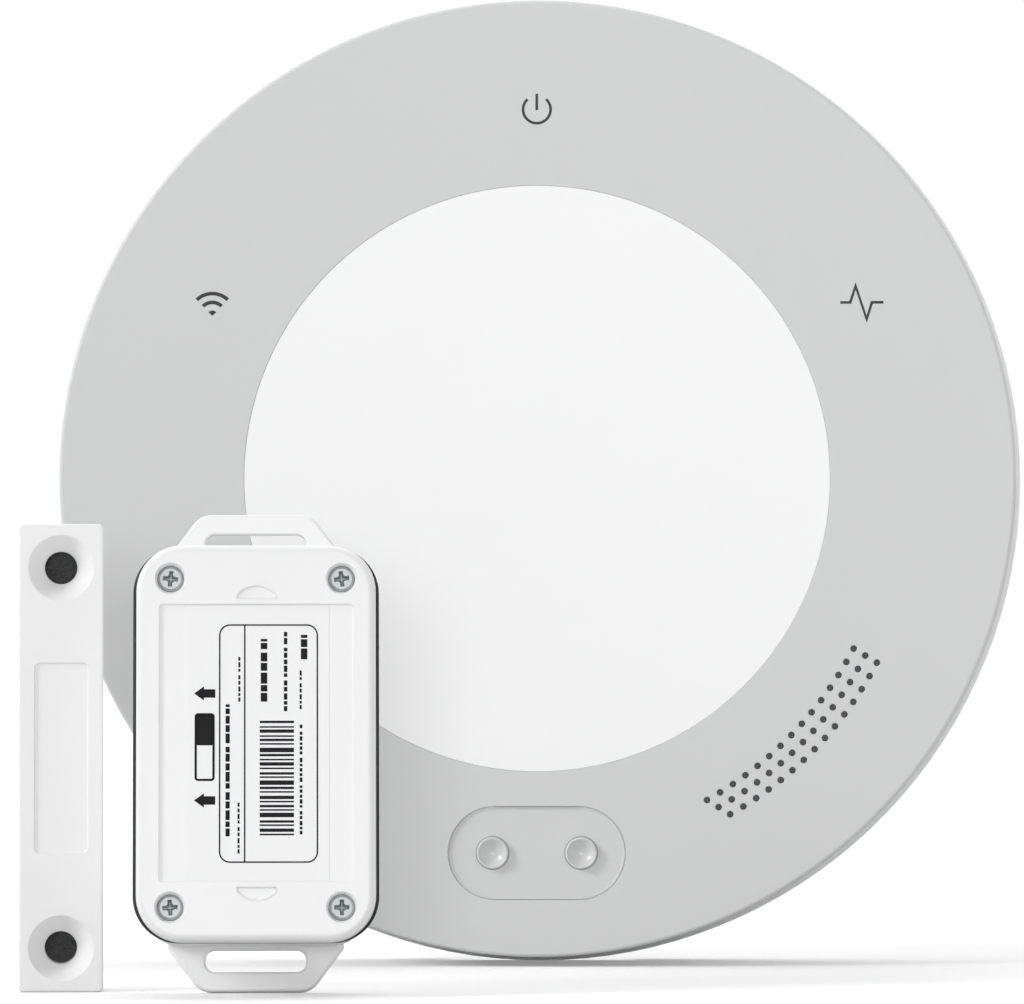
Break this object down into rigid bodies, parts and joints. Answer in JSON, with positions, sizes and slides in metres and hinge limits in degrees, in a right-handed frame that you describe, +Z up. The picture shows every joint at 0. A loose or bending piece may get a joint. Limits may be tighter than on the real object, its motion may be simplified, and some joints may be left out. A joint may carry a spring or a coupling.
{
  "type": "garage door controller",
  "caption": "Round wall controller for a garage door, with buttons, sound holes and lit signs, standing with its slotted door sensor and its magnet bar.",
  "frame": {"origin": "middle of the round unit's flat back, on its axis", "axes": "+Y into the wall, so the front faces -Y; +Z up; +X to the right as seen from the front"},
  "size_m": [0.155, 0.1296, 0.155],
  "materials": {
    "ring_grey": "fine satin grey moulding",
    "cover_white": "satin white moulding",
    "housing_white": "satin white moulding",
    "button_grey": "satin grey keys",
    "steel": "plated screws",
    "board_green": "solder mask",
    "part_black": "black moulded component",
    "led_white": "small lamp",
    "light_guide": "clear light guide",
    "foam_black": "closed foam",
    "cone_black": "speaker cone",
    "magnet_metal": "plated magnet",
    "relay_blue": "relay case",
    "module_blue": "module board",
    "shield_metal": "tinned can",
    "brass": "plated contact",
    "terminal_green": "terminal moulding",
    "sensor_white": "semi-gloss white moulding",
    "seal_black": "rubber seal",
    "cell_metal": "coin cell can",
    "reed_glass": "sealed glass tube",
    "magnet_white": "satin white moulding"
  },
  "bodies": {
    "hub": {"front_ring": "ring_grey", "centre_cover": "cover_white", "rear_housing": "housing_white", "housing_screws": "steel", "main_board": "board_green", "board_screws": "steel", "left_switch": "part_black", "right_switch": "part_black", "status_leds": "led_white", "light_guides": "light_guide", "speaker_gasket": "foam_black", "speaker_frame": "part_black", "speaker_cone": "cone_black", "speaker_magnet": "magnet_metal", "door_relays": "relay_blue", "wireless_module": "module_blue", "module_shield": "shield_metal", "radio_aerial": "brass", "terminal_header": "terminal_green", "terminal_pins": "brass", "power_inlet": "part_black", "inlet_pin": "brass"},
    "left_key": {"left_button": "button_grey", "left_plunger": "part_black"},
    "right_key": {"right_button": "button_grey", "right_plunger": "part_black"},
    "wire_plug": {"terminal_plug": "terminal_green", "terminal_screws": "steel"},
    "door_sensor": {"sensor_base": "sensor_white", "sensor_seal": "seal_black", "sensor_lid": "sensor_white", "sensor_screws": "steel", "sensor_board": "board_green", "sensor_battery": "cell_metal", "battery_clips": "brass", "sensor_chip": "part_black", "reed_switch": "reed_glass", "sensor_aerial": "brass"},
    "magnet_bar": {"magnet_case": "magnet_white", "bar_magnet": "magnet_metal", "magnet_pad": "foam_black"}
  },
  "joints": [
    {"name": "left_press", "type": "slide", "parent": "hub", "child": "left_key", "axis": [0, 1, 0], "range_m": [0, 0.0005], "stiffness_N_per_m": 1600, "springref_m": -0.0005},
    {"name": "right_press", "type": "slide", "parent": "hub", "child": "right_key", "axis": [0, 1, 0], "range_m": [0, 0.0005], "stiffness_N_per_m": 1600, "springref_m": -0.0005},
    {"name": "plug_pull", "type": "slide", "parent": "hub", "child": "wire_plug", "axis": [0, 0, -1], "range_m": [0, 0.012]},
    {"name": "sensor_lift", "type": "slide", "parent": "hub", "child": "door_sensor", "axis": [0, 0, 1], "range_m": [0, 0.12]},
    {"name": "magnet_lift", "type": "slide", "parent": "hub", "child": "magnet_bar", "axis": [0, 0, 1], "range_m": [0, 0.12]}
  ]
}
